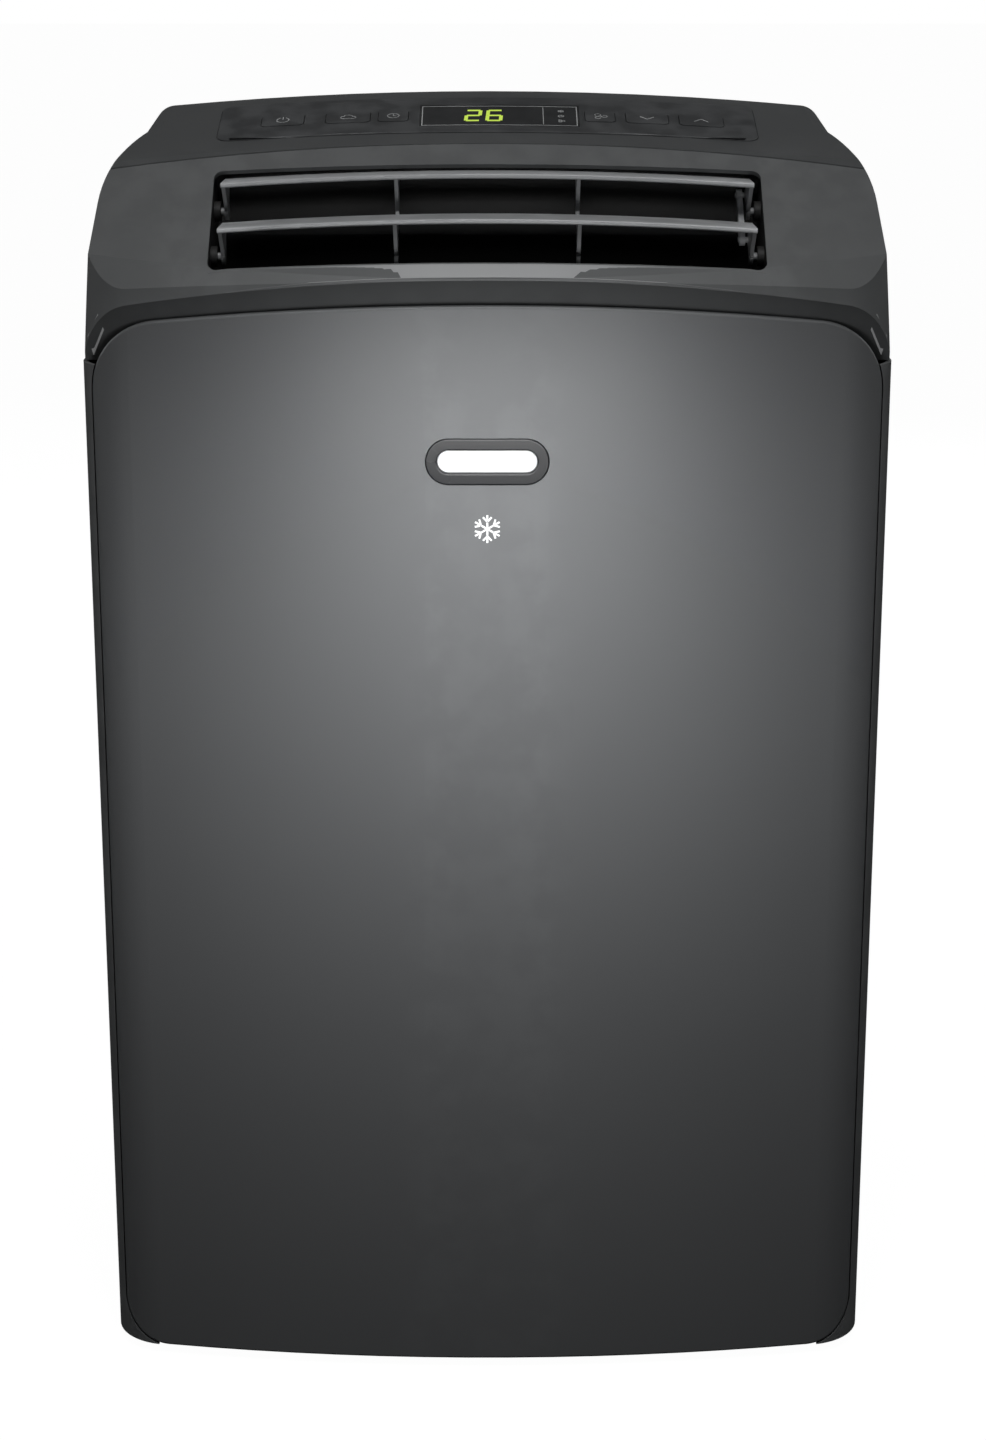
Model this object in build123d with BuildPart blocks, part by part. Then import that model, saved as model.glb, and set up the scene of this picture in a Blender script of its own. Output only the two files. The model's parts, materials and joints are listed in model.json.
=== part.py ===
from build123d import *
import os
from math import cos, radians, sin, sqrt

os.makedirs("parts", exist_ok=True)

# Millimetres. Origin on the floor under the middle of the cabinet, +Z up, front facing -Y.

# casing
half_width = 218.0
front_y = -176.0
rear_y = 163.0
bow_radius = 1060.0
front_corner = 34.0
rear_corner = 30.0
skirt_z = 6.5
wall = 2.6
seam = 0.8
crown_radius = 2000.0

# front panel outline, seen from the front
panel_half = 211.0
panel_top = 612.0
panel_foot = 6.5
arch_radius = 1600.0
panel_corner = 39.0
foot_corner = 26.0
panel_thickness = 3.6
outline_y = -112.0

# head of the casing: lip, louver slope, control slope, top
lip_z = 625.4
head_z = 578.0
slope_angle = 40.0
bevel_angle = 124.7
bevel_crown = 3300.0
nose_angle = 65.0
nose_crown = 1010.0
nose_rub = 0.3
seam_y = -99.4
seam_z = 689.7
deck_angle = 17.0
top_run = 82.0
rear_fall = 5.0
lean_z = 556.0
lean_x = 208.6
shoulder_low = 660.0
block_half = 190.0
block_lean = 0.5
block_round = 12.0
shoulder_top = 692.0
sky_z = 760.0

# louver
opening_start = 12.4
opening_end = 84.6
opening_half = 146.6
vane_half = 141.3
vane_front = 25.0
vane_rear = 7.0
vane_offset = 22.0
vane_thickness = 2.6
upper_pivot_run = 71.3
lower_pivot_run = 38.1
pin_radius = 2.0
running_gap = 0.06
duct_half = 149.0
duct_wall = 2.0

# base and casters
floor_low = 58.0
floor_high = 61.0
caster_x = 168.0
caster_ys = (-115.0, 95.0)
wheel_radius = 19.0
trail = 12.0
stem_radius = 4.0

slope_up = Vector(0, cos(radians(slope_angle)), sin(radians(slope_angle)))
slope_out = Vector(0, -slope_up.Z, slope_up.Y)
deck_up = Vector(0, cos(radians(deck_angle)), sin(radians(deck_angle)))
deck_out = Vector(0, -deck_up.Z, deck_up.Y)
lip_point = Vector(0, front_y, lip_z)
seam_point = Vector(0, seam_y, seam_z)
top_point = seam_point + deck_up * top_run


def casing_plan(inset):
    # bowed front, square sides, rounded corners
    half = half_width - inset
    radius = bow_radius - inset
    edge_y = front_y + bow_radius - sqrt(radius**2 - half**2)
    with BuildSketch() as plan:
        with BuildLine():
            ThreePointArc((-half, edge_y), (0, front_y + inset), (half, edge_y))
            Polyline((half, edge_y), (half, rear_y - inset), (-half, rear_y - inset), (-half, edge_y))
        make_face()
        fillet(plan.vertices().group_by(Axis.Y)[0], front_corner - inset)
        fillet(plan.vertices().group_by(Axis.Y)[-1], rear_corner - inset)
    return plan.sketch


def casing_ring(low, high, outer, inner):
    # one layer of the casing wall between two heights
    with BuildPart() as ring:
        extrude(Plane.XY.offset(low) * casing_plan(outer), amount=high - low)
        extrude(Plane.XY.offset(low) * casing_plan(inner), amount=high - low, mode=Mode.SUBTRACT)
    return ring.part


def front_outline(grow, foot=panel_foot):
    # arched panel shape seen from the front
    half = panel_half + grow
    top = panel_top + grow
    radius = arch_radius + grow
    side_z = top - radius + sqrt(radius**2 - half**2)
    with BuildSketch(Plane.XZ.offset(-outline_y)) as outline:
        with BuildLine():
            ThreePointArc((-half, side_z), (0, top), (half, side_z))
            Polyline((half, side_z), (half, foot - grow), (-half, foot - grow), (-half, side_z))
        make_face()
        fillet(outline.vertices().group_by(Axis.Y)[-1], panel_corner + grow)
        fillet(outline.vertices().group_by(Axis.Y)[0], foot_corner + grow)
    return outline.sketch


def beyond_crown(point, angle, inset, crown=crown_radius):
    # everything outside a crowned surface that climbs to the rear at an angle
    climb = Vector(0, cos(radians(angle)), sin(radians(angle)))
    outward = Vector(0, -climb.Z, climb.Y)
    base = Plane(origin=point - outward * inset, x_dir=(-1, 0, 0), z_dir=climb)
    reach = 300.0
    radius = crown - inset
    drop = radius - sqrt(radius**2 - reach**2)
    with BuildSketch(base) as section:
        with BuildLine():
            ThreePointArc((-reach, -drop), (0, 0), (reach, -drop))
            Polyline((reach, -drop), (reach, reach), (-reach, reach), (-reach, -drop))
        make_face()
    with BuildPart() as tool:
        extrude(section.sketch, amount=2 * reach, both=True)
    return tool.part


def elevation(inset):
    # front view of the head: leaning sides, rounded shoulders, raised block
    half = half_width - inset
    with BuildSketch(Plane.XZ) as face:
        with BuildLine():
            Line((half, 0), (half, lean_z))
            lean = Line((half, lean_z), (lean_x - inset, shoulder_low))
            shoulder = TangentArc(
                (lean_x - inset, shoulder_low),
                (block_half - inset, shoulder_top - inset),
                tangent=lean % 1,
            )
            sky_half = block_half - inset - block_lean * (sky_z - shoulder_top)
            Polyline(shoulder @ 1, (sky_half, sky_z), (0, sky_z), (0, 0), (half, 0))
        make_face()
        mirror(about=Plane.YZ)
    return face.sketch


def head_solid(inset, low):
    # solid head of the casing, drawn in by inset
    with BuildPart() as head:
        extrude(Plane.XY.offset(low) * casing_plan(inset), amount=sky_z - low)
        extrude(elevation(inset), amount=2 * half_width, both=True, mode=Mode.INTERSECT)
        add(beyond_crown(lip_point, slope_angle, inset), mode=Mode.SUBTRACT)
        add(beyond_crown(seam_point, deck_angle, inset), mode=Mode.SUBTRACT)
        add(beyond_crown(top_point, -rear_fall, inset), mode=Mode.SUBTRACT)
        add(beyond_crown(lip_point, nose_angle, inset + nose_rub, nose_crown), mode=Mode.SUBTRACT)
        add(beyond_crown(lip_point, bevel_angle, inset, bevel_crown), mode=Mode.SUBTRACT)
    return head.part


def slope_plane(run, depth=0.0):
    # plane lying in the louver slope, run millimetres up from the lip
    return Plane(origin=lip_point + slope_up * run - slope_out * depth, x_dir=(1, 0, 0), z_dir=slope_out)


def deck_plane(run, depth=0.0):
    # plane lying in the control slope, run millimetres up from the seam
    return Plane(origin=seam_point + deck_up * run - deck_out * depth, x_dir=(1, 0, 0), z_dir=deck_out)


def rear_plane(x, y, z):
    # plane facing backwards
    return Plane(origin=(x, y, z), x_dir=(-1, 0, 0), z_dir=(0, 1, 0))


def side_view(x):
    # plane across the cabinet: sketch x runs to the rear, sketch y runs up
    return Plane(origin=(x, 0, 0), x_dir=(0, 1, 0), z_dir=(1, 0, 0))


# ---------------- covers ----------------
lens_x = 0.0
lens_z = 530.0
bezel_length = 66.0
bezel_height = 25.0
ring_width = 6.4
pocket_depth = 8.0

with BuildPart() as front_panel:
    add(casing_ring(panel_foot, panel_top, 0, panel_thickness))
    extrude(front_outline(0), amount=200, mode=Mode.INTERSECT)
    rim = front_panel.faces().filter_by(GeomType.CYLINDER).sort_by(Axis.Y)[0]
    fillet(rim.edges(), 1.6)
    with BuildSketch(Plane.XZ.offset(-outline_y)):
        with Locations((lens_x, lens_z)):
            SlotOverall(bezel_length, bezel_height)
    extrude(amount=200, mode=Mode.SUBTRACT)
front_panel.part.label = "front_panel"
export_step(front_panel.part, "parts/front_panel.step")

with BuildPart() as receiver_bezel:
    # dark ring around the receiver lens, set into the front panel
    with BuildSketch(Plane.XZ.offset(-front_y + 0.8)):
        with Locations((lens_x, lens_z)):
            SlotOverall(bezel_length - 0.4, bezel_height - 0.4)
            SlotOverall(bezel_length - 2 * ring_width, bezel_height - 2 * ring_width, mode=Mode.SUBTRACT)
    extrude(amount=-pocket_depth)
    fillet(receiver_bezel.faces().sort_by(Axis.Y)[0].edges(), 0.8)
receiver_bezel.part.label = "receiver_bezel"
export_step(receiver_bezel.part, "parts/receiver_bezel.step")

with BuildPart() as receiver_lens:
    with BuildSketch(Plane.XZ.offset(-front_y - 0.6)):
        with Locations((lens_x, lens_z)):
            SlotOverall(bezel_length - 2 * ring_width - 0.4, bezel_height - 2 * ring_width - 0.4)
    extrude(amount=-pocket_depth + 2)
    fillet(receiver_lens.faces().sort_by(Axis.Y)[0].edges(), 1.0)
receiver_lens.part.label = "receiver_lens"
export_step(receiver_lens.part, "parts/receiver_lens.step")

# plate behind the front panel that the panel clips to
frame_inset = panel_thickness + 0.6
frame_top = 594.0
with BuildPart() as front_frame:
    add(casing_ring(floor_high + 1, frame_top, frame_inset, frame_inset + 2.4))
    extrude(front_outline(-14, foot=floor_high + 15), amount=200, mode=Mode.INTERSECT)
    with BuildSketch(Plane.XZ.offset(-outline_y)):
        with Locations((lens_x, lens_z)):
            SlotOverall(bezel_length + 8, bezel_height + 8)
    extrude(amount=200, mode=Mode.SUBTRACT)
front_frame.part.label = "front_frame"
export_step(front_frame.part, "parts/front_frame.step")

grip_y = 20.0
grip_z = 500.0
grip_length = 120.0
grip_height = 38.0
grip_depth = 26.0
rear_split_y = 124.0

for side, name in ((-1, "left_side_panel"), (1, "right_side_panel")):
    with BuildPart() as side_panel:
        add(casing_ring(skirt_z, head_z - seam, 0, wall))
        extrude(front_outline(seam), amount=200, mode=Mode.SUBTRACT)
        with BuildSketch(Plane.XY):
            with Locations((side * half_width / 2, (rear_split_y + front_y) / 2)):
                Rectangle(half_width, rear_split_y - front_y)
        extrude(amount=sky_z, mode=Mode.INTERSECT)
        with BuildSketch(Plane.YZ):
            with Locations((grip_y, grip_z)):
                SlotOverall(grip_length, grip_height)
        extrude(amount=side * 2 * half_width, mode=Mode.SUBTRACT)
    side_panel.part.label = name
    export_step(side_panel.part, f"parts/{name}.step")

for side, name in ((-1, "left_grip"), (1, "right_grip")):
    with BuildPart() as grip:
        # recessed hand grip: a cup let into the side panel
        with BuildSketch(Plane.YZ.offset(side * (half_width + 0.6))):
            with Locations((grip_y, grip_z)):
                SlotOverall(grip_length - 0.6, grip_height - 0.6)
        extrude(amount=-side * grip_depth)
        with BuildSketch(Plane.YZ.offset(side * (half_width + 0.6))):
            with Locations((grip_y, grip_z)):
                SlotOverall(grip_length - 6, grip_height - 6)
        extrude(amount=-side * (grip_depth - 2.4), mode=Mode.SUBTRACT)
    grip.part.label = name
    export_step(grip.part, f"parts/{name}.step")

with BuildPart() as top_housing:
    add(head_solid(0, head_z))
    add(head_solid(wall, head_z - 10), mode=Mode.SUBTRACT)
    # the control deck takes everything behind the seam and above the shoulders
    with BuildSketch(Plane.YZ):
        with Locations((seam_y, shoulder_low)):
            Rectangle(2 * rear_y + 200, sky_z - shoulder_low, align=(Align.MIN, Align.MIN))
    extrude(amount=2 * half_width, both=True, mode=Mode.SUBTRACT)
    # air outlet
    with BuildSketch(slope_plane(0.5 * (opening_start + opening_end), 12)) as mouth:
        Rectangle(2 * opening_half, opening_end - opening_start)
        fillet(mouth.vertices(), 5)
    extrude(amount=30, mode=Mode.SUBTRACT)
top_housing.part.label = "top_housing"
export_step(top_housing.part, "parts/top_housing.step")

# ---------------- control deck ----------------
overlay_length = 296.0
overlay_start = 17.0
overlay_end = 71.0
overlay_mid = 0.5 * (overlay_start + overlay_end)
button_run = 43.0
button_height = 17.0
buttons = (
    ("power_button", -113.0, 24.0),
    ("mode_button", -77.0, 25.0),
    ("timer_button", -52.0, 17.0),
    ("fan_button", 62.0, 17.0),
    ("cooler_button", 88.0, 24.0),
    ("warmer_button", 118.0, 25.0),
)
button_gap = 0.35
button_depth = 13.2
button_proud = 0.6
overlay_proud = 0.3
window_proud = 0.1
overlay_depth = 1.2
overlay_corner = 8.0
board_depth = 20.0
display_x = 6.6
display_length = 88.0
display_height = 33.0


def deck_layer(outer, inner):
    # thin crowned layer that follows the control slope
    with BuildPart() as layer:
        add(beyond_crown(seam_point, deck_angle, inner))
        add(beyond_crown(seam_point, deck_angle, outer), mode=Mode.SUBTRACT)
    return layer.part


with BuildPart() as control_deck:
    add(head_solid(0, head_z))
    block_edges = control_deck.edges().filter_by(
        lambda edge: edge.center().Z > shoulder_top + 1
        and abs(edge.center().X) > block_half - 20
        and edge.bounding_box().size.Y > 20
    )
    fillet(block_edges, block_round)
    add(head_solid(wall, head_z - 10), mode=Mode.SUBTRACT)
    with BuildSketch(Plane.YZ):
        with Locations((seam_y + seam, shoulder_low + seam)):
            Rectangle(2 * rear_y + 200, sky_z - shoulder_low, align=(Align.MIN, Align.MIN))
    extrude(amount=2 * half_width, both=True, mode=Mode.INTERSECT)
    with BuildSketch(deck_plane(overlay_mid, 10)) as recess:
        Rectangle(overlay_length + 0.6, overlay_end - overlay_start + 0.6)
        fillet(recess.vertices(), overlay_corner)
    pocket = extrude(amount=20, mode=Mode.PRIVATE)
    add(pocket & deck_layer(-9, overlay_depth), mode=Mode.SUBTRACT)
    with BuildSketch(deck_plane(button_run, 10)):
        for button_name, button_x, button_width in buttons:
            with Locations((button_x, 0)):
                RectangleRounded(button_width, button_height, 3)
        with Locations((display_x, 0)):
            Rectangle(display_length - 6, display_height - 6)
    extrude(amount=20, mode=Mode.SUBTRACT)
control_deck.part.label = "control_deck"
export_step(control_deck.part, "parts/control_deck.step")

with BuildPart() as control_overlay:
    # glossy strip with rounded corners that carries the keys and the display
    with BuildSketch(deck_plane(overlay_mid)) as strip:
        Rectangle(overlay_length, overlay_end - overlay_start)
        fillet(strip.vertices(), overlay_corner)
    extrude(amount=10, both=True)
    add(deck_layer(-overlay_proud, overlay_depth), mode=Mode.INTERSECT)
    with BuildSketch(deck_plane(button_run, 10)):
        for button_name, button_x, button_width in buttons:
            with Locations((button_x, 0)):
                RectangleRounded(button_width, button_height, 3)
        with Locations((display_x, 0)):
            Rectangle(display_length, display_height)
    extrude(amount=20, mode=Mode.SUBTRACT)
control_overlay.part.label = "control_overlay"
export_step(control_overlay.part, "parts/control_overlay.step")

with BuildPart() as display_window:
    with BuildSketch(deck_plane(button_run)):
        with Locations((display_x, 0)):
            Rectangle(display_length - 0.4, display_height - 0.4)
    extrude(amount=10, both=True)
    add(deck_layer(-window_proud, overlay_depth), mode=Mode.INTERSECT)
display_window.part.label = "display_window"
export_step(display_window.part, "parts/display_window.step")

with BuildPart() as display_module:
    # light module under the window
    with BuildSketch(deck_plane(button_run, 2.6)):
        with Locations((display_x, 0)):
            Rectangle(display_length - 12, display_height - 12)
    extrude(amount=-6)
display_module.part.label = "display_module"
export_step(display_module.part, "parts/display_module.step")

for button_name, button_x, button_width in buttons:
    with BuildPart() as button:
        with BuildSketch(deck_plane(button_run, button_depth)):
            with Locations((button_x, 0)):
                RectangleRounded(button_width - 2 * button_gap, button_height - 2 * button_gap, 2.6)
        extrude(amount=30)
        add(beyond_crown(seam_point, deck_angle, -button_proud), mode=Mode.SUBTRACT)
    button.part.label = button_name
    export_step(button.part, f"parts/{button_name}.step")

with BuildPart() as control_board:
    with BuildSketch(deck_plane(overlay_mid, board_depth)):
        Rectangle(overlay_length - 20, 50)
    extrude(amount=1.6)
    # one key switch under each button, and the standoffs under the display
    with BuildSketch(deck_plane(button_run, 18.4)):
        for button_name, button_x, button_width in buttons:
            with Locations((button_x, 0)):
                Rectangle(7, 7)
    extrude(amount=4)
    with BuildSketch(deck_plane(button_run, 18.4)):
        with Locations((display_x, 0)):
            Rectangle(display_length - 20, display_height - 16)
    extrude(amount=9.8)
control_board.part.label = "control_board"
export_step(control_board.part, "parts/control_board.step")

# ---------------- louver ----------------
rib_thickness = 2.0
rib_places = (-vane_half + 1, -0.343 * vane_half, 0.343 * vane_half, vane_half - 1)
boss_radius = 4.4
crank_y = 8.0
crank_z = 8.0
crank_radius = 1.5
crank_ear = 3.4
blade_round = 0.9
open_clearance = 0.3
link_inner_x = 134.6
link_thickness = 3.0
link_width = 6.4


def pivot_point(run):
    return lip_point + slope_up * run - slope_out * vane_offset


upper_pivot = pivot_point(upper_pivot_run)
lower_pivot = pivot_point(lower_pivot_run)


def crown_drop(x):
    return crown_radius - sqrt(crown_radius**2 - x**2)


for name, pivot in (("upper_vane", upper_pivot), ("lower_vane", lower_pivot)):
    blade_top = pivot.Z + vane_offset
    with BuildPart() as vane:
        # arched blade
        with BuildSketch(Plane.XZ.offset(-pivot.Y + vane_front)):
            with BuildLine():
                end_z = blade_top - crown_drop(vane_half)
                top_arc = ThreePointArc((-vane_half, end_z), (0, blade_top), (vane_half, end_z))
                low_z = end_z - vane_thickness
                low_arc = ThreePointArc((-vane_half, low_z), (0, blade_top - vane_thickness), (vane_half, low_z))
                Line(top_arc @ 1, low_arc @ 1)
                Line(top_arc @ 0, low_arc @ 0)
            make_face()
        extrude(amount=-(vane_front + vane_rear))
        long_edges = vane.faces().sort_by(Axis.Y)[0].edges().filter_by(lambda edge: edge.length > vane_half)
        fillet(long_edges, blade_round)
        # ribs from the blade down to the pivot line
        for rib_x in rib_places:
            rib_top = pivot.Z + vane_offset - crown_drop(rib_x) - vane_thickness / 2
            with BuildSketch(side_view(rib_x - rib_thickness / 2)):
                with BuildLine():
                    Polyline(
                        (pivot.Y - vane_front + 3, rib_top),
                        (pivot.Y + vane_rear - 1, rib_top),
                        (pivot.Y + boss_radius - 0.6, pivot.Z),
                        (pivot.Y - boss_radius + 0.6, pivot.Z),
                        (pivot.Y - vane_front + 3, rib_top),
                    )
                make_face()
                with Locations((pivot.Y, pivot.Z)):
                    Circle(boss_radius)
            extrude(amount=rib_thickness)
        # crank ear on the right-hand end rib
        with BuildSketch(side_view(vane_half - rib_thickness)):
            with Locations((pivot.Y + crank_y, pivot.Z + crank_z)):
                Circle(crank_ear)
            with BuildLine():
                Polyline(
                    (pivot.Y, pivot.Z + boss_radius),
                    (pivot.Y + crank_y, pivot.Z + crank_z + 3),
                    (pivot.Y + crank_y + 2, pivot.Z + crank_z - 2.6),
                    (pivot.Y + boss_radius - 1, pivot.Z),
                    (pivot.Y, pivot.Z + boss_radius),
                )
            make_face()
        extrude(amount=rib_thickness)
        with BuildSketch(side_view(link_inner_x - 0.6)):
            with Locations((pivot.Y + crank_y, pivot.Z + crank_z)):
                Circle(crank_radius)
        extrude(amount=vane_half - 1 - link_inner_x + 0.6)
        # pivot pins
        for side in (-1, 1):
            with BuildSketch(side_view(side * (vane_half - 1))):
                with Locations((pivot.Y, pivot.Z)):
                    Circle(pin_radius)
            extrude(amount=side * (duct_half - vane_half + 1))
    vane.part.label = name
    export_step(vane.part, f"parts/{name}.step")

upper_crank = (upper_pivot.Y + crank_y, upper_pivot.Z + crank_z)
lower_crank = (lower_pivot.Y + crank_y, lower_pivot.Z + crank_z)

with BuildPart() as vane_link:
    # bar that makes both vanes turn together
    with BuildSketch(side_view(link_inner_x)):
        SlotCenterPoint(
            ((upper_crank[0] + lower_crank[0]) / 2, (upper_crank[1] + lower_crank[1]) / 2),
            upper_crank,
            link_width,
        )
    extrude(amount=link_thickness)
    with BuildSketch(side_view(link_inner_x)):
        with Locations(upper_crank):
            Circle(crank_radius + running_gap)
        with Locations(lower_crank):
            Circle(crank_radius + open_clearance)
    extrude(amount=link_thickness, mode=Mode.SUBTRACT)
vane_link.part.label = "vane_link"
export_step(vane_link.part, "parts/vane_link.step")

duct_foot = 560.0
duct_front = lip_point + slope_up * (opening_start - 2) - slope_out * (wall + 0.3)
duct_line_front = ((duct_front.Y, duct_front.Z), (-150, 604), (-132, 582), (-132, duct_foot))
duct_line_rear = ((-62, duct_foot), (-64, 585), (-84, 640), (-89, 684))

with BuildPart() as outlet_duct:
    with BuildSketch(side_view(-duct_half)):
        with BuildLine():
            Polyline(*duct_line_front, *duct_line_rear, duct_line_front[0])
        make_face()
    extrude(amount=2 * duct_half)
    with BuildSketch(side_view(-duct_half + duct_wall)):
        with BuildLine():
            inner_front = [(y + duct_wall, z) for y, z in duct_line_front]
            inner_rear = [(y - duct_wall, z) for y, z in duct_line_rear]
            Polyline(*inner_front, *inner_rear, inner_front[0])
        make_face()
    extrude(amount=2 * (duct_half - duct_wall), mode=Mode.SUBTRACT)
    # the mouth under the slope stays open
    with BuildSketch(side_view(-duct_half + duct_wall)):
        with BuildLine():
            Polyline(inner_front[0], inner_rear[-1], (-120, 720), (-200, 660), inner_front[0])
        make_face()
    extrude(amount=2 * (duct_half - duct_wall), mode=Mode.SUBTRACT)
    with BuildSketch(Plane.XY.offset(duct_foot - 1)):
        with Locations((0, -97)):
            Rectangle(2 * (duct_half - duct_wall), 66)
    extrude(amount=10, mode=Mode.SUBTRACT)
    # pivot bosses for the vanes
    for pivot in (upper_pivot, lower_pivot):
        for side in (-1, 1):
            with BuildSketch(side_view(side * (vane_half + 2.2))):
                with Locations((pivot.Y, pivot.Z)):
                    Circle(5.4)
            extrude(amount=side * (duct_half - vane_half - 2.2))
            with BuildSketch(side_view(side * vane_half)):
                with Locations((pivot.Y, pivot.Z)):
                    Circle(pin_radius + running_gap)
            extrude(amount=side * 30, mode=Mode.SUBTRACT)
    # keep clear of the underside of the housing
    add(beyond_crown(lip_point, slope_angle, wall + 0.3), mode=Mode.SUBTRACT)
    add(beyond_crown(lip_point, nose_angle, wall + 0.3 + nose_rub, nose_crown), mode=Mode.SUBTRACT)
    extrude(Plane.XY.offset(duct_foot) * casing_plan(wall + 0.3), amount=200, mode=Mode.INTERSECT)
outlet_duct.part.label = "outlet_duct"
export_step(outlet_duct.part, "parts/outlet_duct.step")

motor_gap = 0.6
flange_depth = 3.0
can_radius = 11.0
can_depth = 14.0
flange_width = 8.0
flange_height = 26.0

with BuildPart() as vane_motor:
    # stepper motor that turns the upper vane
    with BuildSketch(side_view(-duct_half - motor_gap)):
        with Locations((upper_pivot.Y, upper_pivot.Z)):
            Circle(can_radius)
            Rectangle(flange_width, flange_height)
    extrude(amount=-flange_depth)
    with BuildSketch(side_view(-duct_half - motor_gap - flange_depth)):
        with Locations((upper_pivot.Y, upper_pivot.Z)):
            Circle(can_radius)
    extrude(amount=-can_depth)
vane_motor.part.label = "vane_motor"
export_step(vane_motor.part, "parts/vane_motor.step")

# ---------------- rear ----------------
grille_thickness = 4.2
hinge_y = rear_y - 2.4
hinge_radius = 1.5
door_gap = 1.2
doors = (
    # name, filter name, middle x, foot z, width, height, slot columns
    ("upper_grille", "upper_filter", 0.0, 402.0, 330.0, 158.0, 6),
    ("lower_grille", "lower_filter", -85.0, 112.0, 170.0, 240.0, 3),
)
slot_height = 4.4
slot_pitch = 8.6
collar_x = 100.0
collar_z = 290.0
collar_radius = 65.0
collar_wall = 3.0
collar_inner = 18.0
collar_length = 31.8
flange_lip = 10.0
flange_thickness = 2.6
drain_upper = (150.0, 190.0)
drain_lower = (60.0, 84.0)
spout_bore = 5.5
spout_wall = 2.0
spout_length = 35.0
spout_proud = 5.0
cap_radius = 10.0
cap_thickness = 4.0
plug_length = 16.0
tab_width = 14.0
tab_thickness = 2.4
cord_point = (150.0, 120.0)
gland_radius = 11.0
gland_flange = 3.0
sleeve_radius = 6.8
sleeve_length = 19.0
sleeve_start = 8.0
cord_bore = 3.6
hook_points = ((108.0, 200.0), (108.0, 120.0))
screw_places = [(x, z) for x in (-181.0, 181.0) for z in (45.0, 386.0, 566.0)]
screw_hole = 2.0
screw_head = 3.8
head_height = 1.8
screw_length = 10.0
cross_length = 4.4
cross_width = 1.0

with BuildPart() as rear_cover:
    add(casing_ring(skirt_z, head_z - seam, 0, wall))
    with BuildSketch(Plane.XY):
        with Locations((0, rear_split_y + seam)):
            Rectangle(2 * half_width, 100, align=(Align.CENTER, Align.MIN))
    extrude(amount=sky_z, mode=Mode.INTERSECT)
    # hinge blocks beside the two doors
    for name, filter_name, door_x, door_z, door_width, door_height, columns in doors:
        for side in (-1, 1):
            with BuildSketch(rear_plane(0, rear_y - 9, 0)):
                with Locations((-(door_x + side * (door_width / 2 + 6)), door_z + 3)):
                    Rectangle(9, 11)
            extrude(amount=9 - 0.5 * wall)
    for name, filter_name, door_x, door_z, door_width, door_height, columns in doors:
        with BuildSketch(rear_plane(0, rear_y - 20, 0)):
            with Locations((-door_x, door_z + door_height / 2 - door_gap / 4)):
                Rectangle(door_width + 2 * door_gap, door_height + 2.5 * door_gap)
        extrude(amount=30, mode=Mode.SUBTRACT)
        with BuildSketch(side_view(door_x - door_width / 2 - 8)):
            with Locations((hinge_y, door_z + 3)):
                Circle(hinge_radius + running_gap)
        extrude(amount=door_width + 16, mode=Mode.SUBTRACT)
    # round ports and screw holes
    with BuildSketch(rear_plane(0, rear_y - 20, 0)):
        with Locations((-collar_x, collar_z)):
            Circle(collar_radius + collar_wall + 0.2)
        for x, z in (drain_upper, drain_lower):
            with Locations((-x, z)):
                Circle(spout_bore + 2.2)
        with Locations((-cord_point[0], cord_point[1])):
            Circle(sleeve_radius + 0.2)
        for x, z in screw_places:
            with Locations((-x, z)):
                Circle(screw_hole)
    extrude(amount=30, mode=Mode.SUBTRACT)
rear_cover.part.label = "rear_cover"
export_step(rear_cover.part, "parts/rear_cover.step")

for name, filter_name, door_x, door_z, door_width, door_height, columns in doors:
    rows = int((door_height - 22) / slot_pitch)
    column_pitch = (door_width - 14) / columns
    with BuildPart() as grille:
        with BuildSketch(rear_plane(door_x, rear_y - grille_thickness, door_z + door_height / 2)) as face:
            Rectangle(door_width, door_height)
            fillet(face.vertices(), 3)
        extrude(amount=grille_thickness)
        with BuildSketch(rear_plane(door_x, rear_y - grille_thickness, door_z + door_height / 2)):
            with GridLocations(column_pitch, slot_pitch, columns, rows):
                SlotOverall(column_pitch - 6, slot_height)
        extrude(amount=grille_thickness, mode=Mode.SUBTRACT)
        # hinge pins at the foot
        for side in (-1, 1):
            with BuildSketch(side_view(door_x + side * (door_width / 2 - 1))):
                with Locations((hinge_y, door_z + 3)):
                    Circle(hinge_radius)
            extrude(amount=side * 7)
    grille.part.label = name
    export_step(grille.part, f"parts/{name}.step")

    with BuildPart() as mesh:
        filter_plane = rear_plane(door_x, rear_y - grille_thickness - 4, door_z + door_height / 2 + 2)
        with BuildSketch(filter_plane) as outer:
            Rectangle(door_width - 12, door_height - 16)
            fillet(outer.vertices(), 4)
        extrude(amount=4)
        # mesh panes between the frame's bars
        with BuildSketch(filter_plane):
            with GridLocations((door_width - 16) / 2, (door_height - 20) / 2, 2, 2):
                Rectangle((door_width - 16) / 2 - 4, (door_height - 20) / 2 - 4)
        extrude(amount=1.4, mode=Mode.SUBTRACT)
        with BuildSketch(filter_plane.offset(2.4)):
            with GridLocations((door_width - 16) / 2, (door_height - 20) / 2, 2, 2):
                Rectangle((door_width - 16) / 2 - 4, (door_height - 20) / 2 - 4)
        extrude(amount=1.6, mode=Mode.SUBTRACT)
    mesh.part.label = filter_name
    export_step(mesh.part, f"parts/{filter_name}.step")

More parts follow.
